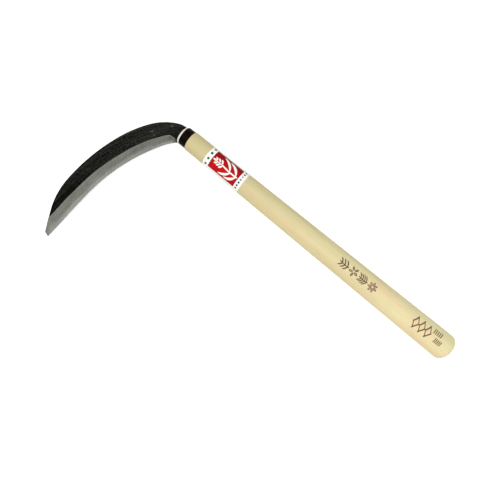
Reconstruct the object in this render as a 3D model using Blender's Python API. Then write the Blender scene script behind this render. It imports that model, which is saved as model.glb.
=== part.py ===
"""Hand sickle: a forged blade with a tang, a wooden handle, a ferrule, a wedge and a paper label.

Frame: the origin is the middle of the butt's flat end, +X runs along the handle towards the blade,
+Y points from the handle towards the blade's tip, and +Z comes out of the face with the ground
bevel. The blade's flat back faces -Z. Lengths are in metres.
"""
import math

import bmesh
import bpy
from mathutils import Vector

MM = 0.001
GAP = 0.3 * MM

# Handle: an oval taper from the butt to the ferrule, and a nose that stands out of the ferrule.
HANDLE_LENGTH = 450.0 * MM
BUTT_HALF_WIDTH = 18.4 * MM
BUTT_HALF_DEPTH = 16.0 * MM
NECK_HALF_WIDTH = 13.5 * MM
NECK_HALF_DEPTH = 13.2 * MM
BUTT_ROUND_LENGTH = 9.0 * MM
BUTT_ROUND_INSET = 11.0 * MM
BUTT_ROUND_STEPS = 7
SECTION_SIDES = 48

# Ferrule: a short ring, a little narrower than the wood behind it.
FERRULE_FRONT = 447.1 * MM
FERRULE_REAR = 436.6 * MM
FERRULE_FRONT_RADIUS = 12.65 * MM
FERRULE_REAR_RADIUS = 12.8 * MM
FERRULE_WALL = 1.1 * MM
FERRULE_CHAMFER = 0.4 * MM
FERRULE_DEPTH_RATIO = 0.98
NOSE_RADIUS = 11.8 * MM
NOSE_CHAMFER = 0.8 * MM
NOSE_OFFSET_Y = 0.7 * MM
SHOULDER_CHAMFER = 0.5 * MM
GRIP_RINGS = (120.0 * MM, 240.0 * MM)

# Tang, with the root that joins it to the blade, its slot in the handle and the wedge that locks it.
NECK_X = HANDLE_LENGTH + GAP
NECK_THICKNESS = 3.6 * MM
TANG_THICKNESS = 3.4 * MM
TANG_LENGTH = 87.0 * MM
TANG_BACK_Y = -3.6 * MM
TANG_BELLY_Y = 6.8 * MM
TANG_END_BELLY_Y = 2.8 * MM
HOOK_WIDTH = 6.0 * MM
HOOK_TIP_Y = -9.5 * MM
TANG_ROOT = 3.0 * MM
TANG_OVERLAP = 0.15 * MM
WEDGE_NOSE = 4.0 * MM
WEDGE_TAIL = 30.0 * MM
WEDGE_NOSE_TOP_Y = 10.7 * MM
WEDGE_TAIL_TOP_Y = 11.9 * MM

# Blade outline, from the neck's shoulder: each run of a chain is (length, turn in degrees).
NECK_BELLY_Y = 13.3 * MM
EDGE_START = (1.3 * MM, 14.3 * MM)
EDGE_HEADING = 46.6
EDGE_RUNS = ((19.0 * MM, 12.4), (115.0 * MM, 25.5), (48.0 * MM, 3.0), (31.9 * MM, -1.7))
SPINE_START = (0.0, -10.0 * MM)
SPINE_HEADING = -3.7
SPINE_RUNS = (
    (13.5 * MM, 29.8),
    (38.5 * MM, 27.9),
    (41.5 * MM, 14.3),
    (91.0 * MM, 19.7),
    (46.2 * MM, 25.4),
    (30.0 * MM, 0.0),
)
RIBS = 44
RIB_CROWDING = 1.25

# Blade section, by distance along the edge from the heel: (distance, value).
BEVEL_WIDTH = ((0.0, 1.0 * MM), (4.0 * MM, 4.3 * MM), (14.0 * MM, 10.0 * MM), (40.0 * MM, 12.3 * MM),
               (100.0 * MM, 13.2 * MM), (170.0 * MM, 15.1 * MM), (215.0 * MM, 15.3 * MM))
BEVEL_THICKNESS = ((0.0, 3.6 * MM), (14.0 * MM, 3.0 * MM), (40.0 * MM, 2.6 * MM), (215.0 * MM, 2.4 * MM))
SPINE_THICKNESS = ((0.0, 3.6 * MM), (60.0 * MM, 3.1 * MM), (215.0 * MM, 2.7 * MM))
EDGE_THICKNESS = 0.12 * MM

# Past this distance the bevel and the forged face keep these slopes, so the blade thins as it narrows.
SLOPED_FROM = 150.0 * MM
BEVEL_SLOPE = 0.17
FLAT_SLOPE = 0.03
SPINE_LAND = 0.6 * MM
BLADE_BACK_Z = -NECK_THICKNESS / 2

# Edge steel: a thin strip let into the back of the blade.
STEEL_THICKNESS = ((0.0, 0.85 * MM), (188.0 * MM, 0.85 * MM), (215.0 * MM, 0.45 * MM))
STEEL_WIDTH = ((0.0, 3.0 * MM), (15.0 * MM, 11.0 * MM), (45.0 * MM, 19.0 * MM), (215.0 * MM, 19.0 * MM))
STEEL_LAND = 1.5 * MM
STEEL_FIRST_RIB = 4
CUT_OVERRUN = 3.0 * MM

# Paper label round the handle.
LABEL_REAR = 346.6 * MM
LABEL_FRONT = 405.9 * MM
PAPER = 0.15 * MM


def clear_scene():
    for item in list(bpy.data.objects):
        bpy.data.objects.remove(item, do_unlink=True)


def material(name, colour, roughness, metallic=0.0):
    mat = bpy.data.materials.new(name)
    mat.use_nodes = True
    shader = mat.node_tree.nodes["Principled BSDF"]
    shader.inputs["Base Color"].default_value = (*colour, 1.0)
    shader.inputs["Roughness"].default_value = roughness
    shader.inputs["Metallic"].default_value = metallic
    return mat


def add_object(name, bm, mat=None, smooth_angle=30.0):
    bmesh.ops.recalc_face_normals(bm, faces=bm.faces)
    mesh = bpy.data.meshes.new(name)
    bm.to_mesh(mesh)
    bm.free()
    mesh.shade_smooth()
    mesh.set_sharp_from_angle(angle=math.radians(smooth_angle))
    obj = bpy.data.objects.new(name, mesh)
    bpy.context.collection.objects.link(obj)
    if mat is not None:
        mesh.materials.append(mat)
    return obj


def hide_tool(obj):
    obj.hide_render = True
    obj.display_type = "WIRE"


def boolean(obj, tool, operation):
    modifier = obj.modifiers.new(tool.name, "BOOLEAN")
    modifier.solver = "EXACT"
    modifier.operation = operation
    modifier.object = tool
    hide_tool(tool)


def loft(rings, closed_run=False):
    """Skin rings of equal point counts; the run is capped at both ends, or joined into a tube wall."""
    bm = bmesh.new()
    loops = [[bm.verts.new(point) for point in ring] for ring in rings]
    count = len(loops[0])
    pairs = list(zip(loops, loops[1:]))
    if closed_run:
        pairs.append((loops[-1], loops[0]))
    else:
        bm.faces.new(loops[0])
        bm.faces.new(reversed(loops[-1]))
    for first, second in pairs:
        for i in range(count):
            j = (i + 1) % count
            bm.faces.new((first[i], second[i], second[j], first[j]))
    return bm


def prism(outline, low_z, high_z):
    """A flat plate with the given outline."""
    return loft([[Vector((x, y, z)) for x, y in outline] for z in (low_z, high_z)])


def oval(x, half_width, half_depth):
    """A ring of points round the handle's axis at x."""
    ring = []
    for i in range(SECTION_SIDES):
        angle = 2 * math.pi * (i + 0.5) / SECTION_SIDES
        ring.append(Vector((x, half_width * math.cos(angle), half_depth * math.sin(angle))))
    return ring


def lookup(table, distance):
    """Straight-line value between a table's (distance, value) entries."""
    for (d0, v0), (d1, v1) in zip(table, table[1:]):
        if distance <= d1:
            return v0 + (v1 - v0) * (distance - d0) / (d1 - d0)
    return table[-1][1]


def arc_chain(start, heading, runs):
    """Points along arcs that follow on from each other, with the length from the start at each point."""
    x, y = start
    angle = math.radians(heading)
    travelled = 0.0
    points = [(0.0, x, y)]
    for length, turn in runs:
        steps = max(2, round(length / MM))
        for _ in range(steps):
            angle += math.radians(turn) / steps / 2
            x += math.cos(angle) * length / steps
            y += math.sin(angle) * length / steps
            angle += math.radians(turn) / steps / 2
            travelled += length / steps
            points.append((travelled, x, y))
    return points


def point_at(chain, distance):
    for (d0, x0, y0), (d1, x1, y1) in zip(chain, chain[1:]):
        if distance <= d1:
            t = (distance - d0) / (d1 - d0)
            return Vector((x0 + (x1 - x0) * t, y0 + (y1 - y0) * t, 0.0))
    return Vector((chain[-1][1], chain[-1][2], 0.0))


def blade_ribs():
    """Ribs across the blade from heel to tip: the edge point, the way to the spine and the widths."""
    edge = arc_chain(EDGE_START, EDGE_HEADING, EDGE_RUNS)
    spine = arc_chain(SPINE_START, SPINE_HEADING, SPINE_RUNS)
    ribs = []
    for i in range(RIBS + 1):
        t = (i / RIBS) ** RIB_CROWDING
        distance = t * edge[-1][0]
        edge_point = point_at(edge, distance)
        ahead = point_at(edge, distance + MM) - point_at(edge, distance - MM)
        ahead.normalize()
        across = point_at(spine, t * spine[-1][0]) - edge_point
        width = across.length
        across.normalize()
        square = across.dot(Vector((ahead.y, -ahead.x, 0.0)))
        ribs.append({"edge": edge_point, "across": across, "width": width, "square": square,
                     "distance": distance})
    return ribs


def rib_sizes(rib):
    """Distances along a rib, and thicknesses, of the bevel's upper line and of the spine."""
    reach = min(lookup(BEVEL_WIDTH, rib["distance"]) / rib["square"], rib["width"] - SPINE_LAND)
    thickness = lookup(BEVEL_THICKNESS, rib["distance"])
    if rib["distance"] > SLOPED_FROM:
        thickness = min(thickness, EDGE_THICKNESS + BEVEL_SLOPE * reach * rib["square"])
    spine = min(lookup(SPINE_THICKNESS, rib["distance"]), thickness + FLAT_SLOPE * (rib["width"] - reach))
    return reach, thickness, max(spine, thickness)


def on_rib(rib, reach, height):
    """The point on a rib that is `reach` from the edge and `height` above the blade's flat back."""
    point = rib["edge"] + rib["across"] * reach
    return Vector((NECK_X + point.x, point.y, BLADE_BACK_Z + height))


def blade_section(rib):
    reach, thickness, spine = rib_sizes(rib)
    return [
        on_rib(rib, 0.0, 0.0),
        on_rib(rib, 0.0, EDGE_THICKNESS),
        on_rib(rib, reach, thickness),
        on_rib(rib, rib["width"], spine),
        on_rib(rib, rib["width"], 0.0),
    ]


def steel_reach(rib):
    return min(lookup(STEEL_WIDTH, rib["distance"]) / rib["square"], rib["width"] - STEEL_LAND)


def steel_section(rib):
    reach, thickness, _ = rib_sizes(rib)
    steel = lookup(STEEL_THICKNESS, rib["distance"])
    exposed = reach * (steel - EDGE_THICKNESS) / (thickness - EDGE_THICKNESS)
    return [
        on_rib(rib, 0.0, 0.0),
        on_rib(rib, 0.0, EDGE_THICKNESS),
        on_rib(rib, exposed, steel),
        on_rib(rib, steel_reach(rib), steel),
        on_rib(rib, steel_reach(rib), 0.0),
    ]


def pocket_section(rib):
    """The steel's room in the back of the blade, one gap larger and running out past the edge."""
    ceiling = lookup(STEEL_THICKNESS, rib["distance"]) + GAP
    inner = steel_reach(rib) + GAP
    return [
        on_rib(rib, -CUT_OVERRUN, -CUT_OVERRUN),
        on_rib(rib, -CUT_OVERRUN, ceiling),
        on_rib(rib, inner, ceiling),
        on_rib(rib, inner, -CUT_OVERRUN),
    ]


def shifted(section, offset):
    return [point + offset for point in section]


def blade_heading(first, second):
    """Unit step along the edge between two ribs."""
    step = second["edge"] - first["edge"]
    return step.normalized()


def make_blade(mat):
    ribs = blade_ribs()
    blade = add_object("blade", loft([blade_section(rib) for rib in ribs]), mat)

    tang_outline = [
        (TANG_ROOT, SPINE_START[1] + TANG_OVERLAP),
        (0.0, SPINE_START[1]),
        (0.0, TANG_BACK_Y),
        (-TANG_LENGTH + HOOK_WIDTH, TANG_BACK_Y),
        (-TANG_LENGTH + HOOK_WIDTH, HOOK_TIP_Y),
        (-TANG_LENGTH, HOOK_TIP_Y),
        (-TANG_LENGTH, 0.0),
        (-TANG_LENGTH + HOOK_WIDTH / 2, TANG_END_BELLY_Y),
        (0.0, TANG_BELLY_Y),
        (0.0, NECK_BELLY_Y),
        (EDGE_START[0], EDGE_START[1] - TANG_OVERLAP),
        (TANG_ROOT / 2, NECK_BELLY_Y - TANG_ROOT),
        (TANG_ROOT, 0.0),
    ]
    outline = [(NECK_X + x, y) for x, y in tang_outline]
    tang = add_object("tang_stock", prism(outline, -TANG_THICKNESS / 2, TANG_THICKNESS / 2))
    boolean(blade, tang, "UNION")

    first, last = ribs[STEEL_FIRST_RIB], ribs[-1]
    start = pocket_section(first)
    end = pocket_section(last)
    behind = blade_heading(first, ribs[STEEL_FIRST_RIB + 1]) * -GAP
    beyond = blade_heading(ribs[-2], last) * CUT_OVERRUN
    sections = [shifted(start, behind)]
    sections += [pocket_section(rib) for rib in ribs[STEEL_FIRST_RIB:]]
    sections.append(shifted(end, beyond))
    pocket = add_object("edge_steel_pocket", loft(sections))
    boolean(blade, pocket, "DIFFERENCE")
    return blade


def make_edge_steel(mat):
    ribs = blade_ribs()[STEEL_FIRST_RIB:]
    return add_object("edge_steel", loft([steel_section(rib) for rib in ribs]), mat)


def handle_half_sizes(x):
    """Half width and half depth of the wood at x, between the butt and the ferrule."""
    t = x / FERRULE_REAR
    return (BUTT_HALF_WIDTH + (NECK_HALF_WIDTH - BUTT_HALF_WIDTH) * t,
            BUTT_HALF_DEPTH + (NECK_HALF_DEPTH - BUTT_HALF_DEPTH) * t)


def ferrule_radius(x):
    t = (x - FERRULE_FRONT) / (FERRULE_REAR - FERRULE_FRONT)
    return FERRULE_FRONT_RADIUS + (FERRULE_REAR_RADIUS - FERRULE_FRONT_RADIUS) * t


def round_ring(x, radius, offset_y=0.0):
    ring = oval(x, radius, radius * FERRULE_DEPTH_RATIO)
    return [point + Vector((0.0, offset_y, 0.0)) for point in ring]


def handle_rings():
    rings = []
    for i in range(BUTT_ROUND_STEPS + 1):
        angle = math.radians(90) * i / BUTT_ROUND_STEPS
        x = BUTT_ROUND_LENGTH * (1 - math.cos(angle))
        inset = BUTT_ROUND_INSET * (1 - math.sin(angle))
        half_width, half_depth = handle_half_sizes(x)
        rings.append(oval(x, half_width - inset, half_depth - inset))
    shoulder_x = FERRULE_REAR - GAP
    for x in (*GRIP_RINGS, LABEL_REAR, LABEL_FRONT, shoulder_x - SHOULDER_CHAMFER):
        rings.append(oval(x, *handle_half_sizes(x)))
    half_width, half_depth = handle_half_sizes(shoulder_x)
    rings.append(oval(shoulder_x, half_width - SHOULDER_CHAMFER, half_depth - SHOULDER_CHAMFER))
    seat_rear = ferrule_radius(shoulder_x) - FERRULE_WALL - GAP
    seat_front_x = FERRULE_FRONT + GAP
    seat_front = ferrule_radius(seat_front_x) - FERRULE_WALL - GAP
    rings.append(round_ring(shoulder_x, seat_rear))
    rings.append(round_ring(seat_front_x, seat_front))
    rings.append(round_ring(seat_front_x, NOSE_RADIUS, NOSE_OFFSET_Y))
    rings.append(round_ring(HANDLE_LENGTH - NOSE_CHAMFER, NOSE_RADIUS, NOSE_OFFSET_Y))
    rings.append(round_ring(HANDLE_LENGTH, NOSE_RADIUS - NOSE_CHAMFER, NOSE_OFFSET_Y))
    return rings


def make_handle(mat):
    handle = add_object("handle", loft(handle_rings()), mat)
    half_slot = TANG_THICKNESS / 2 + GAP
    floor_y = TANG_BACK_Y - GAP
    open_y = BUTT_HALF_WIDTH
    slot_end = NECK_X - TANG_LENGTH - GAP
    past_nose = HANDLE_LENGTH + CUT_OVERRUN
    hook_front = NECK_X - TANG_LENGTH + HOOK_WIDTH + GAP
    slot_outline = [
        (slot_end, HOOK_TIP_Y - GAP),
        (hook_front, HOOK_TIP_Y - GAP),
        (hook_front, floor_y),
        (past_nose, floor_y),
        (past_nose, open_y),
        (slot_end, open_y),
    ]
    slot = add_object("tang_slot", prism(slot_outline, -half_slot, half_slot))
    boolean(handle, slot, "DIFFERENCE")
    return handle


def make_ferrule(mat):
    chamfer = FERRULE_CHAMFER
    outer = [
        (FERRULE_REAR, FERRULE_REAR_RADIUS - chamfer),
        (FERRULE_REAR + chamfer, ferrule_radius(FERRULE_REAR + chamfer)),
        (FERRULE_FRONT - chamfer, ferrule_radius(FERRULE_FRONT - chamfer)),
        (FERRULE_FRONT, FERRULE_FRONT_RADIUS - chamfer),
    ]
    inner = [
        (FERRULE_FRONT, FERRULE_FRONT_RADIUS - FERRULE_WALL),
        (FERRULE_REAR, FERRULE_REAR_RADIUS - FERRULE_WALL),
    ]
    rings = [round_ring(x, radius) for x, radius in outer + inner]
    return add_object("ferrule", loft(rings, closed_run=True), mat)


def make_wedge(mat):
    """A small iron wedge between the tang's belly side and the ferrule, driven from the rear."""
    def tang_top(x):
        return TANG_BELLY_Y + (TANG_END_BELLY_Y - TANG_BELLY_Y) * x / (TANG_LENGTH - HOOK_WIDTH / 2)

    outline = [
        (NECK_X - WEDGE_TAIL, tang_top(WEDGE_TAIL) + GAP),
        (NECK_X - WEDGE_NOSE, tang_top(WEDGE_NOSE) + GAP),
        (NECK_X - WEDGE_NOSE, WEDGE_NOSE_TOP_Y),
        (NECK_X - WEDGE_TAIL, WEDGE_TAIL_TOP_Y),
    ]
    return add_object("wedge", prism(outline, -TANG_THICKNESS / 2, TANG_THICKNESS / 2), mat)


def make_label(mat):
    """A paper band glued round the handle, a closed sleeve with two open ends."""
    rings = []
    for x, lift in ((LABEL_REAR, GAP), (LABEL_REAR, GAP + PAPER),
                    (LABEL_FRONT, GAP + PAPER), (LABEL_FRONT, GAP)):
        half_width, half_depth = handle_half_sizes(x)
        rings.append(oval(x, half_width + lift, half_depth + lift))
    return add_object("label_sleeve", loft(rings, closed_run=True), mat)


def main():
    clear_scene()
    make_handle(material("pale_wood", (0.80, 0.66, 0.43), 0.55))
    make_ferrule(material("blackened_ring", (0.012, 0.008, 0.006), 0.45, 0.8))
    make_wedge(material("wedge_iron", (0.05, 0.048, 0.045), 0.6, 0.8))
    make_label(material("label_paper", (0.85, 0.85, 0.83), 0.8))
    make_blade(material("forge_scale", (0.016, 0.016, 0.013), 0.5, 0.6))
    make_edge_steel(material("edge_steel", (0.28, 0.29, 0.26), 0.35, 0.9))


main()
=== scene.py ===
import math

import bmesh
import bpy
import numpy as np
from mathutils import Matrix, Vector, noise


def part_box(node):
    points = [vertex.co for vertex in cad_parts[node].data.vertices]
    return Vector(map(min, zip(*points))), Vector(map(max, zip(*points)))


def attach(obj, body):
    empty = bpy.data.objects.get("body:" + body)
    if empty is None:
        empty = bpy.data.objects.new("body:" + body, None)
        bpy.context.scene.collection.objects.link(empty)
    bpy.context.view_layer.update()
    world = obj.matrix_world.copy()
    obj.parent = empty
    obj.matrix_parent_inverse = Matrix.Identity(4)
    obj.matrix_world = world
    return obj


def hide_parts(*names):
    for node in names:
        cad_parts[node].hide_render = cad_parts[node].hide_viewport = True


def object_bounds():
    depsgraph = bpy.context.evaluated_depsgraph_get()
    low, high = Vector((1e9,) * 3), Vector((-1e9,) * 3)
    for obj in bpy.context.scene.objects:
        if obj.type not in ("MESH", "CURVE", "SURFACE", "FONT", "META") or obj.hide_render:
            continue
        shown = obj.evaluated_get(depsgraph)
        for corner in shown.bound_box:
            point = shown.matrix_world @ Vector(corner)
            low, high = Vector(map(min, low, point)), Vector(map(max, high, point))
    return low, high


# Looks for the hand sickle: fine meshes, materials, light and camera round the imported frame.
# X runs from the handle's butt to the blade, Y towards the blade's tip, Z out of the ground face.
# Lengths are in metres. Shapes follow the CAD part's driving dimensions, and the frame places them.

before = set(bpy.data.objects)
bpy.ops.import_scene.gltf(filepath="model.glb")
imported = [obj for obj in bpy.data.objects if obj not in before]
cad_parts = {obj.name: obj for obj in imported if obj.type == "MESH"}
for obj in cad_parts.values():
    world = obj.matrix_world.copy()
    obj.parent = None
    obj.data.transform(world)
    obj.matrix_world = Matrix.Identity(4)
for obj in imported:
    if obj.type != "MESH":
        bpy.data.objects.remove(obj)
cad_low, cad_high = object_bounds()
handle_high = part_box("handle")[1]
label_low, label_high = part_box("label_sleeve")
ferrule_low, ferrule_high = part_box("ferrule")

MM = 0.001
HAIRLINE = 0.02 * MM
GAP = 0.3 * MM  # between the CAD's solids
NECK_GAP = 0.05 * MM  # between the drawn neck and the handle's nose

# Handle: an oval taper, a shoulder behind the ferrule and a nose that stands out of it.
BUTT_HALF_WIDTH = 18.4 * MM
BUTT_HALF_DEPTH = 16.0 * MM
NECK_HALF_WIDTH = 13.5 * MM
NECK_HALF_DEPTH = 13.2 * MM
OVAL_FIT = 0.9975
BUTT_ROUND_LENGTH = 9.0 * MM
BUTT_ROUND_INSET = 11.0 * MM
BUTT_ROUND_STEPS = 26
SHOULDER_GAP = 0.1 * MM
SHOULDER_ROUND = 0.7 * MM
SEAT_DEPTH = 1.3 * MM
NOSE_RADIUS = 11.8 * MM
NOSE_ROUND = 0.8 * MM
NOSE_OFFSET_Y = 0.7 * MM
RING_DEPTH_RATIO = 0.98
GRIP_POINTS = 150
GRIP_SPANS = (
    (9.0, 18.0, 1.5), (18.0, 70.0, 0.45), (70.0, 125.0, 2.2), (125.0, 191.0, 0.45), (191.0, 434.0, 2.2),
)

# Slot in the handle for the tang, open on the belly side.
SLOT_HALF_WIDTH = 2.0 * MM
SLOT_FLOOR_Y = -3.9 * MM
SLOT_LENGTH = 87.0 * MM

# Blade outline from the neck's shoulder: each run of a chain is (length, turn in degrees), in mm.
EDGE_START = (1.3, 14.3)
EDGE_HEADING = 46.6
EDGE_RUNS = ((19.0, 12.4), (115.0, 25.5), (48.0, 3.0), (31.9, -1.7))
SPINE_START = (0.0, -10.0)
SPINE_HEADING = -3.7
SPINE_RUNS = ((13.5, 29.8), (38.5, 27.9), (41.5, 14.3), (91.0, 19.7), (46.2, 25.4), (30.0, 0.0))
RIBS = 300

# Blade section, in mm, by distance along the edge from the heel: (distance, value).
BEVEL_WIDTH = ((0, 1.0), (4, 4.3), (14, 10.0), (40, 12.3), (100, 13.2), (170, 15.1), (215, 15.3))
BEVEL_THICKNESS = ((0, 3.6), (14, 3.0), (40, 2.6), (215, 2.4))
SPINE_THICKNESS = ((0, 3.6), (60, 3.1), (215, 2.7))
STEEL_THICKNESS = ((0, 0.85), (188, 0.85), (215, 0.45))
STEEL_WIDTH = ((0, 3), (15, 11), (45, 19), (215, 19))
STEEL_START = 10.7
STEEL_LAND = 1.5
EDGE_THICKNESS = 0.1
SLOPED_FROM = 150.0
BEVEL_SLOPE = 0.17
FLAT_SLOPE = 0.03
SPINE_LAND = 0.6
SPINE_TOP_ROUND = 0.55
SPINE_BACK_ROUND = 0.35
HOLLOW = 0.05
FACE_CROWN = 0.12
BEVEL_WOBBLE = 0.35
POCKET_LIP = 0.4
# Painted highlight along the bevel's crest: its strength by distance along the edge, and how far down the
# bevel it reaches, in mm.
CREST_HIGHLIGHT_STRENGTH = ((10, 1.0), (16, 0.13))
CREST_HIGHLIGHT_WIDTH = 1.7
HAMMER_WAVES = 0.055
DRAW_MARKS = 0.022
BEVEL_STEPS = 14
TOP_COLUMNS = 46
BLADE_BACK_Z = -1.8
NECK_BELLY_Y = 13.3 * MM

# Places where the scale is rubbed, in mm: (x, y, half length, half width), and which way they run.
RUBBED_SPOTS = ((467.8, 0.7, 1.5, 1.0), (483.8, 22.4, 1.7, 1.0), (478.6, 24.8, 1.3, 0.8))
RUBBED_WAY = (0.62, 0.78)

# Tang, from the neck's shoulder towards the butt, in mm.
TANG_HALF_THICKNESS = 1.65
TANG_WORN_EDGE = 0.4
TANG_OUTLINE = (
    (3.0, -9.0), (0.3, -9.0), (0.0, -3.6), (-81.0, -3.6), (-81.0, -9.5),
    (-87.0, -9.5), (-87.0, 0.0), (-84.0, 2.8), (0.0, 6.8), (0.3, 10.5), (3.0, 9.0),
)

# Ferrule: a ring that tapers towards the blade and reaches over the gap behind the handle's flange.
FERRULE_EXTRA = 0.25 * MM
FERRULE_TAPER = 0.15 * MM
FERRULE_WALL = 1.1 * MM
FERRULE_ROUND = 0.35 * MM
FERRULE_UNEVEN = 0.04 * MM
FERRULE_POINTS = 160

# Burned marks, in mm along the handle: the stretch that has them, and where each row starts.
MARKED_X = (17, 193)
ORNAMENTS_X = 180.6
ORNAMENTS_STEP = 15.4
DIAMONDS_X = 43.6
DIAMONDS_STEP = 9.8
GROOVE_SIDE = 0.35
GROOVE_DEPTH = 0.16 * MM

# Paper label: the band's steps, its wavy ends, and its overlap underneath as an angle.
LABEL_STEP = 0.36 * MM
LABEL_POINTS = 264
LABEL_WAVE = 0.22 * MM
LABEL_INSET = 0.25 * MM
LABEL_OVERLAP = 0.30
PAPER = 0.15 * MM

# Print on the label, in mm: places along the handle, and arc lengths round it from the top line.
PANEL_X = (355.0, 397.3)
PANEL_ARC = (-13.2, 14.2)

# Albedos.
WOOD_AT_BUTT = (0.656, 0.589, 0.349)
WOOD_AT_NECK = (0.522, 0.476, 0.258)
FRESH_WOOD = (0.670, 0.690, 0.645)
RED = (0.470, 0.0022, 0.0055)
FRONT_DOTS = ((0.12, 0.04, 0.09), (0.01, 0.05, 0.035), (0.01, 0.10, 0.03), (0.09, 0.08, 0.10))
REAR_DOTS = (
    (0.02, 0.11, 0.07), (0.09, 0.14, 0.11), (0.34, 0.38, 0.55), (0.18, 0.20, 0.22),
    (0.03, 0.03, 0.10), (0.01, 0.08, 0.04), (0.04, 0.06, 0.05),
)
SOFT_IRON = (0.120, 0.123, 0.104)
HARD_STEEL = (0.190, 0.194, 0.178)

# Rows of dots in the label's margins, in mm: (place along the handle, first arc, step, radius, inks).
DOT_ROWS = ((401.3, -11.6, 8.1, 1.7, FRONT_DOTS), (351.4, -12.6, 4.25, 1.4, REAR_DOTS))

# Growth rings: where the tree's middle lies from the handle's axis, and the width of a ring.
PITH_Y = -62.0 * MM
PITH_Z = 45.0 * MM
RING_WIDTH = 2.1 * MM

# Camera over the object, as seen from straight above with the blade at the upper left.
CAMERA_PLACE = (0.2855, 0.0622, 0.4615)
CAMERA_TURN = math.radians(219.15)
CAMERA_LENS = 25.2

# Stage: the floor's reach each way, the light it gives off, and the light from all round.
FLOOR_REACH = 40.0
FLOOR_GLOW = 0.38
STUDIO_STRENGTH = 0.66


# ---------------------------------------------------------------- meshes

def table(entries, distance):
    """Straight-line values between a table's (distance, value) entries."""
    distances, values = zip(*entries)
    return np.interp(distance, distances, values)


def rounding(radius, steps):
    """Steps round an edge from its side to its face: (back from the face, in from the side)."""
    angles = np.radians(np.linspace(0, 90, steps))
    return [(radius * (1 - math.sin(angle)), radius * (1 - math.cos(angle))) for angle in angles]


def smooth_noise(points, seed):
    """Noise from -1 to 1 at each point, one feature for each unit of length."""
    shift = Vector((17.3 * seed, -9.1 * seed, 4.7 * seed))
    return np.array([noise.noise(Vector(p) + shift) for p in points])


def loft(name, rings, closed_run=False):
    """Skin rings, given as an array [ring, point, xyz], capped at both ends or joined into a tube."""
    count, size = rings.shape[:2]
    index = np.arange(count * size).reshape(count, size)
    following = np.roll(index, -1, axis=0) if closed_run else index[1:]
    first = index if closed_run else index[:-1]
    corners = (first, np.roll(first, -1, axis=1), np.roll(following, -1, axis=1), following)
    faces = np.stack(corners, axis=-1).reshape(-1, 4).tolist()
    if not closed_run:
        faces.append(index[0][::-1].tolist())
        faces.append(index[-1].tolist())
    mesh = bpy.data.meshes.new(name)
    mesh.from_pydata(rings.reshape(-1, 3).tolist(), [], faces)
    return mesh


def set_values(mesh, name, values):
    """Store a number or a vector for each of the mesh's points."""
    values = np.asarray(values, dtype=np.float32)
    kind = "FLOAT" if values.ndim == 1 else "FLOAT_VECTOR"
    layer = mesh.attributes.new(name, kind, "POINT")
    layer.data.foreach_set("value" if values.ndim == 1 else "vector", values.ravel())


def add_piece(mesh, nodes, materials, sharp=35.0):
    """Weld the mesh, shade it, and put it in the scene in place of its CAD nodes."""
    bm = bmesh.new()
    bm.from_mesh(mesh)
    bmesh.ops.remove_doubles(bm, verts=bm.verts, dist=0.001 * MM)
    bmesh.ops.recalc_face_normals(bm, faces=bm.faces)
    bm.to_mesh(mesh)
    bm.free()
    for material in materials:
        mesh.materials.append(material)
    mesh.shade_smooth()
    mesh.set_sharp_from_angle(angle=math.radians(sharp))
    piece = bpy.data.objects.new(mesh.name, mesh)
    bpy.context.scene.collection.objects.link(piece)
    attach(piece, "root")
    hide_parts(*nodes)
    return piece


# ---------------------------------------------------------------- drawn motifs

def stroke(start, end, bend=0.0, width=1.0, leaf=0.0):
    """Points (x, y, half width) along a bent stroke. With leaf at 1 both its ends are pointed."""
    t = np.linspace(0.0, 1.0, 25)
    a, b = np.array(start, float), np.array(end, float)
    side = np.array((-(b - a)[1], (b - a)[0])) / np.linalg.norm(b - a)
    line = a + np.outer(t, b - a) + np.outer(4 * t * (1 - t) * bend, side)
    swell = np.sin(math.pi * t) ** 0.7
    half = width / 2 * (1 - leaf + leaf * swell)
    return np.column_stack((line, half))


def depth_inside(places, strokes):
    """How deep each place (x, y) lies inside the nearest stroke; below zero outside it."""
    depth = np.full(len(places), -10.0)
    for points in strokes:
        for x, y, half in points:
            np.maximum(depth, half - np.hypot(places[:, 0] - x, places[:, 1] - y), out=depth)
    return depth


def moved(strokes, x, y):
    """The same strokes, x further along and y further across."""
    return [points + (x, y, 0.0) for points in strokes]


def sprig(leaves, width):
    """A small burned sprig, 14 long and 13 across: a stem with pairs of leaves."""
    strokes = [stroke((-7, 0.4), (6.4, -0.2), 0.5, width)]
    for i in range(leaves):
        u = -5.6 + 8.6 * i / (leaves - 1)
        reach = 6.2 - 1.1 * i / (leaves - 1)
        strokes.append(stroke((u, 0), (u + 4.0, reach), 0.7, width * 1.2, 0.4))
        strokes.append(stroke((u + 0.6, 0), (u + 4.4, -reach), -0.7, width * 1.2, 0.4))
    return strokes


def whorl(petals, width):
    """A small burned flower, 13 across: petals round an open centre."""
    strokes = []
    for i in range(petals):
        angle = 2 * math.pi * (i + 0.25) / petals
        way = np.array((math.cos(angle), math.sin(angle)))
        strokes.append(stroke(way * 1.6, way * 6.6, 0.9, width, 0.3))
        strokes.append(stroke(way * 1.6, way * 6.6, -0.9, width, 0.3))
    return strokes


def burned_marks():
    """Generic ornaments burned into the handle, in mm along the handle and across its top."""
    strokes = []
    for i, motif in enumerate((sprig(3, 1.5), whorl(5, 1.3), sprig(4, 1.3), whorl(7, 1.15))):
        strokes += moved(motif, ORNAMENTS_X - ORNAMENTS_STEP * i, -0.2 + 0.2 * i)
    for i in range(3):
        x = DIAMONDS_X + DIAMONDS_STEP * i
        corners = ((x - 4.2, 0.0), (x, -8.2), (x + 4.2, 0.0), (x, 7.9))
        for k in range(4):
            strokes.append(stroke(corners[k], corners[(k + 1) % 4], 0.25, 1.9 if k % 2 else 1.3))
    for i in range(5):
        strokes.append(stroke((25.6 + 2.7 * i, -9.6), (26.6 + 2.7 * i, -3.6), 0.2, 1.3))
        strokes.append(stroke((21.6 + 2.2 * i, 0.0), (22.0 + 2.2 * i, 5.6), 0.2, 1.3))
    return strokes


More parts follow.
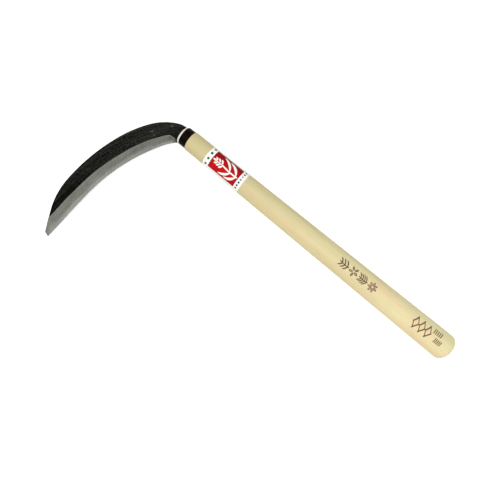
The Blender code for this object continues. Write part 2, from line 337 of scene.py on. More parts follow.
def label_motif():
    """A plain rice plant for the label's panel: a stem, four leaves and an ear of grains."""
    strokes = [
        stroke((357.6, 1.6), (381.0, 0.4), 0.7, 1.9),
        stroke((358.4, 1.8), (372.0, 11.4), 2.4, 3.4, 0.8),
        stroke((359.0, 1.2), (374.6, -10.2), -2.4, 3.4, 0.8),
        stroke((367.0, 1.4), (381.6, 11.4), 2.2, 3.2, 0.8),
        stroke((369.0, 0.8), (384.4, -10.4), -2.2, 3.2, 0.8),
        stroke((381.0, 0.4), (391.4, 0.4), 0.2, 1.2),
        stroke((390.4, 0.4), (395.9, 0.4), 0.0, 2.5, 1.0),
    ]
    for i in range(3):
        x = 380.6 + 4.0 * i
        spread = 5.2 - 0.8 * i
        strokes.append(stroke((x, 1.5), (x + 4.0, 0.6 + spread), 0.3, 2.3, 1.0))
        strokes.append(stroke((x + 1.2, -0.7), (x + 5.2, 0.2 - spread), -0.3, 2.3, 1.0))
    return strokes


# ---------------------------------------------------------------- materials

class Finish:
    """A node material round one Principled shader, with short calls for the nodes it uses."""

    def __init__(self, name, **values):
        self.data = bpy.data.materials.new(name)
        self.data.use_nodes = True
        self.tree = self.data.node_tree
        self.shader = self.tree.nodes["Principled BSDF"]
        for key, value in values.items():
            self.shader.inputs[key.replace("_", " ")].default_value = value
        self.place = self.node("ShaderNodeTexCoord").outputs["Object"]

    def node(self, kind, inputs=None, **settings):
        node = self.tree.nodes.new(kind)
        for key, value in settings.items():
            setattr(node, key, value)
        for key, value in (inputs or {}).items():
            if isinstance(value, bpy.types.NodeSocket):
                self.tree.links.new(value, node.inputs[key])
            else:
                node.inputs[key].default_value = value
        return node

    def noise(self, vector, scale, detail=3.0, roughness=0.55):
        """Noise from 0 to 1, with that many features a metre along each axis."""
        stretched = self.node("ShaderNodeMapping", {"Vector": vector, "Scale": scale}).outputs["Vector"]
        inputs = {"Vector": stretched, "Scale": 1.0, "Detail": detail, "Roughness": roughness}
        return self.node("ShaderNodeTexNoise", inputs).outputs["Fac"]

    def attribute(self, name, output="Fac"):
        return self.node("ShaderNodeAttribute", attribute_name=name).outputs[output]

    def math(self, operation, *values, clamp=False):
        inputs = dict(enumerate(values))
        return self.node("ShaderNodeMath", inputs, operation=operation, use_clamp=clamp).outputs[0]

    def ramp(self, value, low, high, start=0.0, end=1.0):
        """The value from low to high, as a number from start to end, held beyond them."""
        inputs = {"Value": value, "From Min": low, "From Max": high, "To Min": start, "To Max": end}
        return self.node("ShaderNodeMapRange", inputs).outputs["Result"]

    def mix(self, factor, a, b, blend="MIX"):
        node = self.node("ShaderNodeMix", data_type="RGBA", blend_type=blend)
        for socket, value in ((node.inputs[0], factor), (node.inputs[6], a), (node.inputs[7], b)):
            if isinstance(value, bpy.types.NodeSocket):
                self.tree.links.new(value, socket)
            else:
                socket.default_value = (*value, 1.0) if isinstance(value, tuple) else value
        return node.outputs[2]

    def tint(self, colour, amount, factors):
        """The colour times the factors, where the amount is 1. A single factor is for all channels."""
        factors = factors if isinstance(factors, tuple) else (factors,) * 3
        return self.mix(amount, colour, self.mix(1.0, colour, factors, "MULTIPLY"))

    def bump(self, height, distance, strength):
        inputs = {"Height": height, "Distance": distance, "Strength": strength}
        return self.node("ShaderNodeBump", inputs).outputs["Normal"]

    def drive(self, **sockets):
        for key, socket in sockets.items():
            self.tree.links.new(socket, self.shader.inputs[key.replace("_", " ")])
        return self.data


def wood_finish():
    """Pale straight-grained wood, sanded: growth rings, fibres, pores, soft hues, the burned marks."""
    wood = Finish("pale_wood", Specular_IOR_Level=0.35)
    warp = wood.noise(wood.place, (5, 26, 26), detail=2)
    spot = wood.node("ShaderNodeSeparateXYZ", {"Vector": wood.place})
    along, across, upward = (spot.outputs[axis] for axis in "XYZ")
    from_pith = wood.math("MULTIPLY_ADD", warp, 10 * MM, wood.math("ADD", across, -PITH_Y))
    over_pith = wood.math("ADD", upward, -PITH_Z)
    squares = wood.math("ADD", wood.math("POWER", from_pith, 2.0), wood.math("POWER", over_pith, 2.0))
    radius = wood.math("SQRT", squares)
    rings = wood.math("SINE", wood.math("MULTIPLY", radius, 2 * math.pi / RING_WIDTH))
    rings = wood.ramp(rings, -0.2, 1.0)
    fibres = wood.noise(wood.place, (14, 1300, 1300), detail=4)
    bands = wood.noise(wood.place, (4, 70, 70), detail=2)
    hues = wood.noise(wood.place, (7, 55, 70), detail=1)
    pores = wood.ramp(wood.noise(wood.place, (60, 2100, 2100), detail=1), 0.64, 0.74)
    middle = wood.math("MULTIPLY", wood.ramp(along, 0.09, 0.12), wood.ramp(along, 0.25, 0.22))
    warm = wood.math("MULTIPLY", middle, wood.ramp(across, -5 * MM, 6 * MM))

    colour = wood.mix(wood.ramp(along, 0.08, 0.44), WOOD_AT_BUTT, WOOD_AT_NECK)
    colour = wood.mix(wood.ramp(along, ferrule_low.x, ferrule_high.x), colour, FRESH_WOOD)
    colour = wood.tint(colour, wood.ramp(hues, 0.46, 0.62), (1.03, 0.955, 0.93))
    colour = wood.tint(colour, wood.ramp(hues, 0.50, 0.36), (0.97, 1.0, 0.94))
    colour = wood.tint(colour, wood.ramp(across, -5 * MM, -13 * MM), (0.985, 1.045, 1.04))
    colour = wood.tint(colour, warm, (1.01, 0.945, 0.965))
    colour = wood.tint(colour, wood.ramp(rings, 0, 1, 0, 0.30), (0.82, 0.76, 0.62))
    colour = wood.tint(colour, wood.ramp(bands, 0.35, 0.7, 0, 0.35), (1.09, 1.06, 1.04))
    colour = wood.tint(colour, wood.ramp(fibres, 0.35, 0.7, 0, 0.35), (0.80, 0.73, 0.60))
    colour = wood.tint(colour, wood.math("MULTIPLY", pores, 0.4), (0.60, 0.50, 0.40))
    patchy = wood.noise(wood.place, (260, 420, 420), detail=3)
    burn = wood.math("ADD", wood.attribute("burn"), wood.ramp(patchy, 0.3, 0.7, -0.10, 0.10))
    scorch = wood.ramp(burn, -0.8, 0.0, 0.0, 0.22)
    colour = wood.mix(scorch, colour, (0.30, 0.16, 0.08))
    char = wood.ramp(burn, 0.0, 0.2)
    char_tone = wood.mix(wood.ramp(patchy, 0.35, 0.65), (0.045, 0.018, 0.013), (0.110, 0.052, 0.036))
    lighter = wood.ramp(along, 0.110, 0.080)
    char_tone = wood.tint(char_tone, lighter, (1.6, 1.9, 1.2))
    colour = wood.mix(char, colour, char_tone)
    roughness = wood.ramp(fibres, 0.3, 0.7, 0.50, 0.62)
    roughness = wood.math("ADD", roughness, wood.math("MULTIPLY", char, 0.2))
    relief = wood.math("ADD", fibres, wood.math("MULTIPLY", rings, 0.3))
    relief = wood.math("SUBTRACT", relief, wood.math("MULTIPLY", pores, 0.8))
    return wood.drive(Base_Color=colour, Roughness=roughness, Normal=wood.bump(relief, 0.05 * MM, 0.6))


def scale_finish():
    """Black forge scale: lengthwise streaks, a mottle, brown clouds, a few rubbed spots."""
    scale = Finish("forge_scale", Specular_IOR_Level=0.035)
    strip = scale.attribute("strip", "Vector")
    streaks = scale.noise(strip, (9, 360, 30), detail=4, roughness=0.6)
    fine = scale.noise(strip, (60, 2600, 60), detail=4, roughness=0.6)
    clouds = scale.noise(strip, (55, 130, 90), detail=3)
    mottle = scale.noise(strip, (460, 680, 300), detail=6, roughness=0.66)
    grains = scale.noise(scale.place, (1500, 1500, 1500), detail=2)
    spot = scale.node("ShaderNodeSeparateXYZ", {"Vector": strip})
    distance, reach = spot.outputs["X"], spot.outputs["Y"]
    tone = scale.ramp(streaks, 0.38, 0.66, -0.15, 1.0)
    tone = scale.math("ADD", tone, scale.ramp(distance, 100 * MM, 150 * MM, 0, -0.2))
    tone = scale.math("ADD", tone, scale.ramp(mottle, 0.32, 0.68, -0.95, 0.95))
    tone = scale.math("ADD", tone, scale.ramp(reach, 15 * MM, 34 * MM, -0.18, 0.12), clamp=True)
    colour = scale.mix(tone, (0.0004, 0.0006, 0.0001), (0.0260, 0.0260, 0.0220))
    colour = scale.mix(scale.ramp(clouds, 0.5, 0.75, 0, 0.4), colour, (0.0115, 0.0095, 0.0050))
    colour = scale.mix(scale.ramp(fine, 0.56, 0.74, 0, 0.6), colour, (0.048, 0.048, 0.045))
    rubbed = scale.math("MULTIPLY", scale.attribute("rubbed"), scale.ramp(grains, 0.3, 0.6), clamp=True)
    colour = scale.mix(scale.math("MULTIPLY", rubbed, 0.8), colour, (0.13, 0.13, 0.12))
    roughness = scale.ramp(clouds, 0.3, 0.7, 0.42, 0.60)
    roughness = scale.math("ADD", roughness, scale.ramp(fine, 0.4, 0.7, 0.04, -0.08))
    relief = scale.math("ADD", scale.math("MULTIPLY", fine, 0.5), streaks)
    relief = scale.math("ADD", relief, scale.math("MULTIPLY", grains, 0.35))
    bumps = scale.bump(relief, 0.07 * MM, 0.7)
    return scale.drive(Base_Color=colour, Roughness=roughness, Normal=bumps)


def ground_finish(name, inner, outer, scratch_size):
    """Ground metal, darker at the heel: scratches across the bevel, clouds, and a bright line of painted
    highlight along its crest.
    """
    ground = Finish(name, Metallic=0.85)
    strip = ground.attribute("strip", "Vector")
    spot = ground.node("ShaderNodeSeparateXYZ", {"Vector": strip})
    distance, reach = spot.outputs["X"], spot.outputs["Y"]
    scratches = ground.noise(strip, (scratch_size, 60, 40), detail=4, roughness=0.65)
    coarse = ground.noise(strip, (scratch_size / 5, 24, 40), detail=2)
    grit = ground.noise(strip, (480, 600, 40), detail=3)
    clouds = ground.noise(strip, (38, 150, 60), detail=3)
    wavy_reach = ground.math("MULTIPLY_ADD", clouds, 6 * MM, reach)
    colour = ground.mix(ground.ramp(wavy_reach, 5 * MM, 11 * MM), outer, inner)
    colour = ground.tint(colour, ground.ramp(clouds, 0.35, 0.7), 0.86)
    colour = ground.tint(colour, ground.ramp(distance, 20 * MM, 150 * MM, 1, 0), 0.75)
    colour = ground.tint(colour, ground.ramp(scratches, 0.5, 0.75, 0, 0.5), 1.45)
    colour = ground.tint(colour, ground.ramp(coarse, 0.50, 0.75, 0, 0.3), 0.75)
    colour = ground.tint(colour, ground.ramp(grit, 0.36, 0.64), 0.84)
    # Painted highlight: a bright line along the bevel's crest.
    colour = ground.tint(colour, ground.attribute("crest"), 2.8)
    roughness = ground.ramp(scratches, 0.3, 0.7, 0.50, 0.36)
    roughness = ground.math("ADD", roughness, ground.ramp(clouds, 0.3, 0.7, -0.03, 0.05))
    relief = ground.bump(scratches, 0.03 * MM, 0.6)
    return ground.drive(Base_Color=colour, Roughness=roughness, Normal=relief)


def ferrule_finish():
    """Blackened steel ring: brown-black, drawn lengthwise, rubbed at its rims."""
    ring = Finish("blackened_ring", Specular_IOR_Level=0.035)
    streaks = ring.noise(ring.place, (30, 900, 900), detail=4)
    patches = ring.noise(ring.place, (240, 240, 240), detail=3)
    dark, worn = (0.0020, 0.0004, 0.0001), (0.0120, 0.0085, 0.0060)
    colour = ring.mix(ring.ramp(streaks, 0.48, 0.75), dark, worn)
    rubbed = ring.math("MULTIPLY", ring.attribute("rim"), ring.ramp(patches, 0.45, 0.7))
    colour = ring.mix(rubbed, colour, (0.045, 0.040, 0.034))
    roughness = ring.ramp(patches, 0.3, 0.7, 0.36, 0.55)
    relief = ring.math("ADD", streaks, patches)
    return ring.drive(Base_Color=colour, Roughness=roughness, Normal=ring.bump(relief, 0.06 * MM, 0.6))


def iron_finish():
    """Rough dark iron for the tang and the wedge."""
    iron = Finish("dark_iron", Metallic=0.55)
    blotches = iron.noise(iron.place, (170, 400, 400), detail=4)
    grains = iron.noise(iron.place, (1600, 1600, 1600), detail=2)
    colour = iron.mix(iron.ramp(blotches, 0.35, 0.7), (0.028, 0.026, 0.024), (0.085, 0.070, 0.056))
    roughness = iron.ramp(grains, 0.3, 0.7, 0.5, 0.75)
    relief = iron.math("ADD", grains, blotches)
    return iron.drive(Base_Color=colour, Roughness=roughness, Normal=iron.bump(relief, 0.08 * MM, 0.7))


def paper_finish():
    """White label paper with a printed panel, dots in its margins and a white plant in the panel."""
    paper = Finish("printed_paper", Specular_IOR_Level=0.07)
    fibres = paper.noise(paper.place, (700, 700, 700), detail=4)
    mottle = paper.noise(paper.place, (130, 130, 130), detail=3)
    bleed = paper.ramp(fibres, 0.3, 0.7, -0.08, 0.08)
    white = paper.mix(paper.ramp(mottle, 0.35, 0.7), (0.820, 0.815, 0.765), (0.775, 0.770, 0.705))
    ink = paper.tint(paper.attribute("ink", "Color"), paper.ramp(mottle, 0.3, 0.7), (0.8, 0.9, 0.9))
    inked = paper.ramp(paper.math("ADD", paper.attribute("ink_depth"), bleed), -0.06, 0.06)
    colour = paper.mix(inked, white, ink)
    drawn = paper.ramp(paper.math("ADD", paper.attribute("motif_depth"), bleed), -0.06, 0.06)
    colour = paper.mix(drawn, colour, white)
    roughness = paper.ramp(inked, 0, 1, 0.55, 0.42)
    return paper.drive(Base_Color=colour, Roughness=roughness, Normal=paper.bump(fibres, 0.02 * MM, 0.5))


# ---------------------------------------------------------------- blade

def arc_chain(start, heading, runs):
    """Distances and points along arcs that follow on from each other, every quarter of a mm."""
    counts = [round(length * 4) for length, _ in runs]
    lengths = np.repeat([length / count for (length, _), count in zip(runs, counts)], counts)
    turns = np.repeat([turn / count for (_, turn), count in zip(runs, counts)], counts)
    angles = np.radians(heading + np.cumsum(turns) - turns / 2)
    steps = np.column_stack((np.cos(angles), np.sin(angles))) * lengths[:, None]
    points = np.vstack((start, np.array(start) + np.cumsum(steps, axis=0)))
    return np.concatenate(([0.0], np.cumsum(lengths))), points


def point_at(chain, distance):
    """Points on a chain of arcs at the given distances along it."""
    distances, points = chain
    return np.column_stack([np.interp(distance, distances, points[:, i]) for i in (0, 1)])


class Ribs:
    """Ribs across the blade from heel to tip, with each one's widths and thicknesses in mm."""

    def __init__(self, distance):
        edge = arc_chain(EDGE_START, EDGE_HEADING, EDGE_RUNS)
        spine = arc_chain(SPINE_START, SPINE_HEADING, SPINE_RUNS)
        share = distance / edge[0][-1]
        self.distance = distance
        self.edge = point_at(edge, distance)
        ahead = point_at(edge, distance + 1.0) - point_at(edge, distance - 1.0)
        ahead /= np.linalg.norm(ahead, axis=1)[:, None]
        across = point_at(spine, share * spine[0][-1]) - self.edge
        self.width = np.linalg.norm(across, axis=1)
        self.across = across / self.width[:, None]
        square = self.across[:, 0] * ahead[:, 1] - self.across[:, 1] * ahead[:, 0]
        wobble = smooth_noise(np.column_stack((distance / 17, 0 * distance, 0 * distance)), 3)
        fade = np.clip(distance / 20, 0, 1)
        self.bevel = np.minimum(table(BEVEL_WIDTH, distance) / square, self.width - SPINE_LAND)
        self.bevel_z = table(BEVEL_THICKNESS, distance)
        sloped = np.minimum(self.bevel_z, EDGE_THICKNESS + BEVEL_SLOPE * self.bevel * square)
        self.bevel_z = np.where(distance > SLOPED_FROM, sloped, self.bevel_z)
        risen_z = self.bevel_z + FLAT_SLOPE * (self.width - self.bevel)
        spine_z = np.minimum(table(SPINE_THICKNESS, distance), risen_z)
        self.spine_z = np.maximum(spine_z, self.bevel_z)
        self.bevel += np.where(self.width - self.bevel > 2, BEVEL_WOBBLE * wobble * fade, 0)
        self.steel_z = table(STEEL_THICKNESS, distance)
        self.steel = np.minimum(table(STEEL_WIDTH, distance) / square, self.width - STEEL_LAND)
        self.weld = self.bevel * (self.steel_z - EDGE_THICKNESS) / (self.bevel_z - EDGE_THICKNESS)
        self.land = self.width - self.bevel

    def place(self, reach, height):
        """World points at a reach from the edge and a height over the flat back, in mm."""
        flat = self.edge + self.across * reach[:, None]
        along = (handle_high.x + GAP) / MM + flat[:, 0]
        return np.column_stack((along, flat[:, 1], BLADE_BACK_Z + height)) * MM


def between(reaches, heights, fractions, bulge=0.0):
    """Columns of (reach, height) between two lines along the blade, at the given fractions."""
    (r0, r1), (h0, h1) = reaches, heights
    return [(r0 + (r1 - r0) * f, h0 + (h1 - h0) * f + bulge * np.sin(math.pi * f)) for f in fractions]


def body_columns(ribs, with_steel):
    """The iron body's section as columns (reach, height): bevel, black face, spine, back, pocket."""
    start = ribs.weld if with_steel else 0 * ribs.weld
    start_z = ribs.steel_z if with_steel else 0 * ribs.weld + EDGE_THICKNESS
    bevel_steps = np.linspace(0, 1, BEVEL_STEPS + 1)
    columns = between((start, ribs.bevel), (start_z, ribs.bevel_z), bevel_steps, -HOLLOW)
    top_round = np.minimum(SPINE_TOP_ROUND, ribs.land * 0.4)
    crown = FACE_CROWN * np.clip(ribs.land / 20, 0, 1)
    top_end = ribs.width - top_round
    top_steps = np.linspace(0, 1, TOP_COLUMNS - BEVEL_STEPS)[1:]
    columns += between((ribs.bevel, top_end), (ribs.bevel_z, ribs.spine_z), top_steps, crown)
    for angle in np.radians((22, 45, 68, 90)):
        drop = top_round * (1 - math.cos(angle))
        columns.append((top_end + top_round * math.sin(angle), ribs.spine_z - drop))
    back_round = np.minimum(SPINE_BACK_ROUND, ribs.land * 0.3)
    for height, inset in rounding(back_round, 3):
        columns.append((ribs.width - inset, height))
    back_steps = np.linspace(0, 1, 12)[1:]
    columns += between((ribs.width - back_round, ribs.steel), (0 * start, 0 * start), back_steps)
    ceiling = ribs.steel_z + HAIRLINE / MM if with_steel else 0 * start
    columns.append((ribs.steel + HAIRLINE / MM, ceiling))
    end = start + (POCKET_LIP if with_steel else 0.0)
    columns += between((ribs.steel, end), (ceiling, ceiling), (0.5, 1.0))
    return columns


def forging(ribs, columns):
    """Hammer waves and draw marks on the black face, as height changes in mm."""
    lift = [np.zeros(len(ribs.distance)) for _ in columns]
    for k, (reach, _) in enumerate(columns[:TOP_COLUMNS]):
        share = np.clip((reach - ribs.bevel) / np.maximum(ribs.land, 0.1), 0, 1)
        window = np.clip(np.minimum(share, 1 - share) * 6, 0, 1) * np.clip(ribs.land / 6, 0, 1)
        spots = np.column_stack((ribs.distance / 15, reach / 9, 0 * reach))
        draws = np.column_stack((ribs.distance / 55, reach / 2.2, 0 * reach + 5))
        lift[k] = window * (HAMMER_WAVES * smooth_noise(spots, 1) + DRAW_MARKS * smooth_noise(draws, 2))
    return lift


def rubbed_spots(points):
    """How rubbed the scale is at each point: a spot by the neck and two scuffs further out."""
    c, s = RUBBED_WAY
    out = np.zeros(len(points))
    for x, y, long, short in RUBBED_SPOTS:
        from_x, from_y = points[:, 0] / MM - x, points[:, 1] / MM - y
        u = (from_x * c + from_y * s) / long
        v = (from_y * c - from_x * s) / short
        out = np.maximum(out, np.exp(-(u * u + v * v)))
    return np.where(points[:, 2] > 0, out, 0)


def lay_out(ribs, columns):
    """Rings of world points from columns, with each point's strip coordinate: distance, reach, height."""
    rings = np.stack([ribs.place(reach, height) for reach, height in columns], axis=1)
    rings[:, :, 0] = np.minimum(rings[:, :, 0], cad_high.x)
    strips = [np.column_stack((ribs.distance, reach, height)) for reach, height in columns]
    return rings, np.stack(strips, axis=1) * MM


def crest_highlight_values(ribs, columns):
    """How bright the painted highlight on the bevel's crest is: most at the heel, 0 from the crest's width
    down the bevel.
    """
    values = [np.zeros(len(ribs.distance)) for _ in columns]
    strength = table(CREST_HIGHLIGHT_STRENGTH, ribs.distance)
    for k, (reach, _) in enumerate(columns[:BEVEL_STEPS + 1]):
        values[k] = strength * np.clip(1 - (ribs.bevel - reach) / CREST_HIGHLIGHT_WIDTH, 0, 1)
    return np.stack(values, axis=1)


def rib_distances():
    """Distances along the edge, closest together at the heel; the hard steel has the later ones."""
    total = sum(length for length, _ in EDGE_RUNS)
    t = np.linspace(0, 1, RIBS)
    distances = total * (t + 0.35 * t * t) / 1.35
    early = np.concatenate((distances[distances < STEEL_START], [STEEL_START]))
    return early, np.concatenate(([STEEL_START], distances[distances > STEEL_START]))


def make_blade(scale, ground):
    """The iron body from the neck's shoulder to the tip, black on its face and ground on its bevel."""
    plain, steeled = (Ribs(distances) for distances in rib_distances())
    rings, strips, crest_highlights = [], [], []
    for ribs, with_steel in ((plain, False), (steeled, True)):
        columns = body_columns(ribs, with_steel)
        lift = forging(ribs, columns)
        columns = [(reach, height + up) for (reach, height), up in zip(columns, lift)]
        ring, strip = lay_out(ribs, columns)
        rings.append(ring)
        strips.append(strip)
        crest_highlights.append(crest_highlight_values(ribs, columns))
    shoulder = rings[0][:1].copy()
    shoulder[:, :, 0] = handle_high.x + NECK_GAP
    shoulder[:, :, 1] = np.minimum(shoulder[:, :, 1], NECK_BELLY_Y)
    rings = np.concatenate([shoulder, *rings])
    mesh = loft("blade_body", rings)
    set_values(mesh, "strip", np.concatenate([strips[0][:1], *strips]).reshape(-1, 3))
    set_values(mesh, "crest", np.concatenate([crest_highlights[0][:1], *crest_highlights]).ravel())
    set_values(mesh, "rubbed", rubbed_spots(rings.reshape(-1, 3)))
    land = np.concatenate((plain.land, steeled.land))[:, None]
    column = np.arange(rings.shape[1])[None, :]
    ground_faces = (column < BEVEL_STEPS) | ((column < TOP_COLUMNS - 1) & (land < SPINE_LAND + 0.2))
    ground_faces[0] = False
    end_caps = [0, 1]
    indices = np.concatenate((ground_faces.ravel(), end_caps)).astype(np.int32)
    mesh.polygons.foreach_set("material_index", indices)
    return add_piece(mesh, ["blade"], [scale, ground], 28)


def make_edge_steel(steel):
    """The hard steel let into the back, bare there and along the edge."""
    ribs = Ribs(rib_distances()[1])
    zero = 0 * ribs.weld
    inner = ribs.steel - HAIRLINE / MM
    shown = np.linspace(0, 1, 8)
    columns = between((zero, ribs.weld), (zero + EDGE_THICKNESS, ribs.steel_z), shown, -HOLLOW / 6)
    columns += between((ribs.weld, inner), (ribs.steel_z, ribs.steel_z), (0.3, 0.6, 1.0))
    columns += between((inner, zero), (zero, zero), np.linspace(0, 1, 14))
    rings, strip = lay_out(ribs, columns)
    mesh = loft("hard_edge_steel", rings)
    set_values(mesh, "strip", strip.reshape(-1, 3))
    set_values(mesh, "crest", np.zeros(len(mesh.vertices)))
    return add_piece(mesh, ["edge_steel"], [steel], 28)


def make_tang(iron):
    """The tang with its hooked end, hidden in the handle's slot."""
    outline = [(handle_high.x + GAP + x * MM, y * MM) for x, y in TANG_OUTLINE]
    levels = (-TANG_HALF_THICKNESS * MM, TANG_HALF_THICKNESS * MM)
    rings = np.array([[(x, y, z) for x, y in outline] for z in levels])
    tang = add_piece(loft("blade_tang", rings), [], [iron])
    bevel = tang.modifiers.new("worn_edges", "BEVEL")
    bevel.width = TANG_WORN_EDGE * MM
    bevel.segments = 3
    return tang


# ---------------------------------------------------------------- handle, ferrule, label

def grip_half_sizes(x):
    """Half width and half depth of the oval grip, kept just inside the CAD's many-sided one."""
    share = x / ferrule_low.x
    half_width = BUTT_HALF_WIDTH + (NECK_HALF_WIDTH - BUTT_HALF_WIDTH) * share
    half_depth = BUTT_HALF_DEPTH + (NECK_HALF_DEPTH - BUTT_HALF_DEPTH) * share
    return half_width * OVAL_FIT, half_depth * OVAL_FIT


def grip_ring(x, half_width, half_depth, offset_y=0.0, slotted=False):
    """Points round the handle, closest together on top, with the slot's two inner corners last."""
    lip = math.asin(SLOT_HALF_WIDTH / half_depth)
    turn = np.linspace(0, 2 * math.pi, 721)
    density = 1 + 2.2 * np.exp(-((turn - math.pi / 2) / 0.8) ** 2)
    share = np.cumsum(density) - density[0]
    turn = np.interp(np.linspace(0, 1, GRIP_POINTS), share / share[-1], turn)
    angles = lip + turn * (1 - lip / math.pi)

    def at(turns):
        across = half_width * np.cos(turns) + offset_y
        return np.column_stack((0 * turns + x, across, half_depth * np.sin(turns)))

    if slotted:
        inner = [(x, SLOT_FLOOR_Y, -SLOT_HALF_WIDTH), (x, SLOT_FLOOR_Y, SLOT_HALF_WIDTH)]
    else:
        inner = at(np.array((-lip / 3, lip / 3)))
    return np.vstack((at(angles), inner))


def handle_rings():
    """Rings of the handle: rounded butt, grip, shoulder, seat for the ferrule, flange and nose."""
    rings = []
    for i in range(BUTT_ROUND_STEPS + 1):
        angle = math.pi / 2 * i / BUTT_ROUND_STEPS
        x = BUTT_ROUND_LENGTH * (1 - math.cos(angle))
        inset = BUTT_ROUND_INSET * (1 - math.sin(angle))
        half_width, half_depth = grip_half_sizes(x)
        rings.append(grip_ring(x, half_width - inset, half_depth - inset))
    slot_x = handle_high.x - SLOT_LENGTH
    for low, high, step in GRIP_SPANS:
        for x in np.linspace(low, high, round((high - low) / step) + 1)[1:] * MM:
            if x >= slot_x and rings[-1][0, 0] < slot_x:
                for slotted in (False, True):
                    rings.append(grip_ring(slot_x, *grip_half_sizes(slot_x), 0.0, slotted))
            rings.append(grip_ring(x, *grip_half_sizes(x), 0.0, x >= slot_x))
    shoulder_x = ferrule_low.x - SHOULDER_GAP
    half_width, half_depth = grip_half_sizes(shoulder_x)
    for back, inset in rounding(SHOULDER_ROUND, 7):
        rings.append(grip_ring(shoulder_x - back, half_width - inset, half_depth - inset, 0.0, True))
    seat = half_width - SHOULDER_ROUND - SEAT_DEPTH
    flange_x = ferrule_high.x + GAP
    rings.append(grip_ring(shoulder_x, seat, seat * RING_DEPTH_RATIO, 0.0, True))
    rings.append(grip_ring(flange_x, seat, seat * RING_DEPTH_RATIO, 0.0, True))
    outline = [(flange_x + ahead, NOSE_RADIUS - inset) for inset, ahead in rounding(NOSE_ROUND / 2, 5)]
    outline += [(handle_high.x - back, NOSE_RADIUS - inset) for back, inset in rounding(NOSE_ROUND, 9)]
    for x, radius in outline:
        rings.append(grip_ring(x, radius, radius * RING_DEPTH_RATIO, NOSE_OFFSET_Y, True))
    return np.array(rings)


def make_handle(wood):
    """The handle, with the burned marks sunk into its top as shallow grooves."""
    rings = handle_rings()
    points = rings.reshape(-1, 3)
    burn = np.full(len(points), -5.0)
    low, high = MARKED_X
    on_top = (points[:, 2] > 0) & (points[:, 0] > low * MM) & (points[:, 0] < high * MM)
    burn[on_top] = depth_inside(points[on_top, :2] / MM, burned_marks())
    points[:, 2] -= np.clip(burn / GROOVE_SIDE, 0, 1) * GROOVE_DEPTH
    mesh = loft("wooden_handle", points.reshape(rings.shape))
    set_values(mesh, "burn", burn)
    return add_piece(mesh, ["handle"], [wood], 40)


def make_ferrule(finish):
    """A short ring with rounded rims, a little uneven from the hammer."""
    x0, x1 = ferrule_low.x, ferrule_high.x + FERRULE_EXTRA
    rear, front = ferrule_high.y, ferrule_high.y - FERRULE_TAPER
    profile = [(x0 + back, rear - inset) for back, inset in rounding(FERRULE_ROUND, 7)[::-1]]
    profile += [(x0 + (x1 - x0) * f, rear + (front - rear) * f) for f in np.linspace(0.08, 0.9, 12)]
    profile += [(x1 - back, front - inset) for back, inset in rounding(FERRULE_ROUND, 9)]
    profile += [(x1, front - FERRULE_WALL), (x0, rear - FERRULE_WALL)]
    angles = np.linspace(0, 2 * math.pi, FERRULE_POINTS, endpoint=False)
    rings = []
    for x, radius in profile:
        around = np.column_stack((angles * 0 + x / (4 * MM), np.cos(angles) * 3, np.sin(angles) * 3))
        uneven = radius - FERRULE_UNEVEN * (1 + smooth_noise(around, 6))
        depth = uneven * RING_DEPTH_RATIO
        rings.append(np.column_stack((angles * 0 + x, uneven * np.cos(angles), depth * np.sin(angles))))
    rings = np.array(rings)
    mesh = loft("ferrule_ring", rings, closed_run=True)
    from_rim = np.minimum(rings[:, :, 0] - x0, x1 - rings[:, :, 0]) / (0.7 * MM)
    set_values(mesh, "rim", np.clip(1 - from_rim, 0, 1).ravel())
    return add_piece(mesh, ["ferrule"], [finish], 40)


def label_print(places):
    """The label's print at places (x, arc) in mm: depth inside the panel or a dot, and the ink there, with
    painted shade in the red towards one side.
    """
    low, high = zip(PANEL_X, PANEL_ARC)
    depth = np.minimum(places - low, high - places).min(axis=1)
    ink = np.tile(RED, (len(places), 1))
    darker_rim = np.interp(depth, (0.9, 1.8), (0.55, 1.0))
    # The red is darker towards the -Y side: partly a darker print, partly painted shade on the side turned
    # from the light.
    print_and_shade_side = np.interp(places[:, 1], (-8.5, -3.0), (0.62, 1.0))
    ink *= (darker_rim * print_and_shade_side)[:, None]
    for x, first, step, radius, tints in DOT_ROWS:
        for i, tint in enumerate(tints):
            away = np.hypot(places[:, 0] - x, places[:, 1] - (first + step * i))
            ink[away < 2.0] = tint
            depth = np.maximum(depth, radius - away)
    return depth, ink


def make_label(paper):
    """A paper band round the handle, overlapped and glued underneath."""
    rear, front = label_low.x, label_high.x
    stations = np.linspace(rear, front, round((front - rear) / LABEL_STEP) + 1)
    angles = np.linspace(-math.pi / 2, 1.5 * math.pi, LABEL_POINTS, endpoint=False)
    from_below = angles + math.pi / 2
    overlap = np.clip(from_below / 0.02, 0, 1) * np.clip((LABEL_OVERLAP - from_below) / 0.03, 0, 1)
    rings = []
    for x, lift in [(rear, 0.0)] + [(x, PAPER) for x in stations] + [(front, 0.0)]:
        half_width, half_depth = grip_half_sizes(x)
        out = HAIRLINE + lift + (overlap * PAPER if lift else 0)
        share = (x - rear) / (front - rear)
        ragged = np.column_stack((angles * 1.6, angles * 0 + round(share) * 7, angles * 0))
        shift = (2 * share - 1) * (LABEL_WAVE * smooth_noise(ragged, 4) - LABEL_INSET)
        across, upward = (half_width + out) * np.cos(angles), (half_depth + out) * np.sin(angles)
        rings.append(np.column_stack((x + shift, across, upward)))
    rings = np.array(rings)
    points = rings.reshape(-1, 3)
    mesh = loft("paper_label", rings, closed_run=True)

    arc = np.arctan2(points[:, 1], points[:, 2]) * sum(grip_half_sizes(front)) / 2
    places = np.column_stack((points[:, 0], arc)) / MM
    depth, ink = label_print(places)
    set_values(mesh, "ink_depth", depth)
    set_values(mesh, "ink", ink)
    set_values(mesh, "motif_depth", depth_inside(places, label_motif()))
    return add_piece(mesh, ["label_sleeve"], [paper], 40)


# ---------------------------------------------------------------- stage

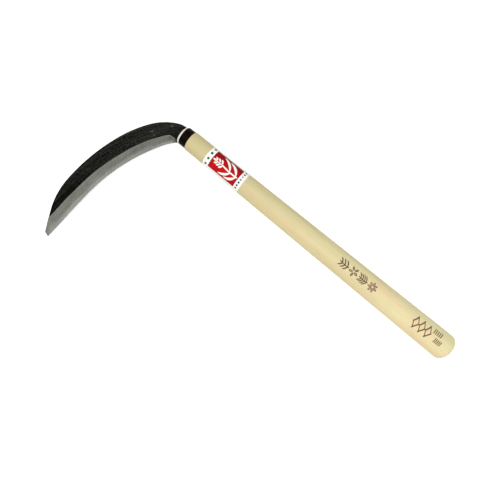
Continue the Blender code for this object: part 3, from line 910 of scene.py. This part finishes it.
def make_floor():
    """A wide pale sheet that glows a little, so its shadows stay faint, and throws no light back up."""
    mesh = bpy.data.meshes.new("floor")
    corners = [(x * FLOOR_REACH, y * FLOOR_REACH, 0) for x, y in ((-1, -1), (1, -1), (1, 1), (-1, 1))]
    mesh.from_pydata(corners, [], [(0, 1, 2, 3)])
    floor = bpy.data.objects.new("floor", mesh)
    floor.location = (0.25, 0.1, cad_low.z)
    floor.visible_diffuse = False
    bpy.context.scene.collection.objects.link(floor)
    cover = Finish("pale_floor", Roughness=0.9, Specular_IOR_Level=0.1, Emission_Strength=FLOOR_GLOW)
    shade = cover.noise(cover.place, (3, 3, 3), detail=2)
    mesh.materials.append(cover.drive(Base_Color=cover.mix(shade, (0.90, 0.90, 0.90), (0.92, 0.92, 0.92))))


def add_light(name, place, size, power, aim):
    """A square softbox of that size and power, turned to face the aim and hidden from the camera."""
    data = bpy.data.lights.new(name, "AREA")
    data.shape = "SQUARE"
    data.size = size
    data.energy = power
    light = bpy.data.objects.new(name, data)
    light.location = place
    light.rotation_euler = (Vector(aim) - Vector(place)).to_track_quat("-Z", "Y").to_euler()
    light.visible_camera = False
    bpy.context.scene.collection.objects.link(light)


def make_stage():
    """The floor, a large softbox overhead, a weak one from the side, and even white light all round."""
    make_floor()
    middle = (cad_low + cad_high) / 2
    above = (middle.x - 0.16, middle.y + 0.30, 1.10)
    aside = (middle.x + 0.30, middle.y - 0.85, 0.80)
    add_light("main_softbox", above, size=1.2, power=12.6, aim=middle)
    add_light("side_softbox", aside, size=0.8, power=0.6, aim=middle)
    world = bpy.data.worlds.new("studio")
    world.use_nodes = True
    background = world.node_tree.nodes["Background"]
    background.inputs["Color"].default_value = (1.0, 1.0, 1.0, 1.0)
    background.inputs["Strength"].default_value = STUDIO_STRENGTH
    bpy.context.scene.world = world
    bpy.context.scene.view_settings.view_transform = "Standard"


def make_camera():
    """The camera, looking straight down."""
    data = bpy.data.cameras.new("camera")
    data.lens = CAMERA_LENS
    data.clip_start = 0.01
    camera = bpy.data.objects.new("camera", data)
    camera.location = CAMERA_PLACE
    camera.rotation_euler = (0.0, 0.0, CAMERA_TURN)
    bpy.context.scene.collection.objects.link(camera)
    bpy.context.scene.camera = camera


iron = iron_finish()
make_handle(wood_finish())
make_ferrule(ferrule_finish())
make_label(paper_finish())
make_blade(scale_finish(), ground_finish("ground_iron", SOFT_IRON, HARD_STEEL, 900))
make_edge_steel(ground_finish("ground_steel", HARD_STEEL, HARD_STEEL, 1200))
make_tang(iron)
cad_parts["wedge"].material_slots[0].material = iron
make_stage()
make_camera()
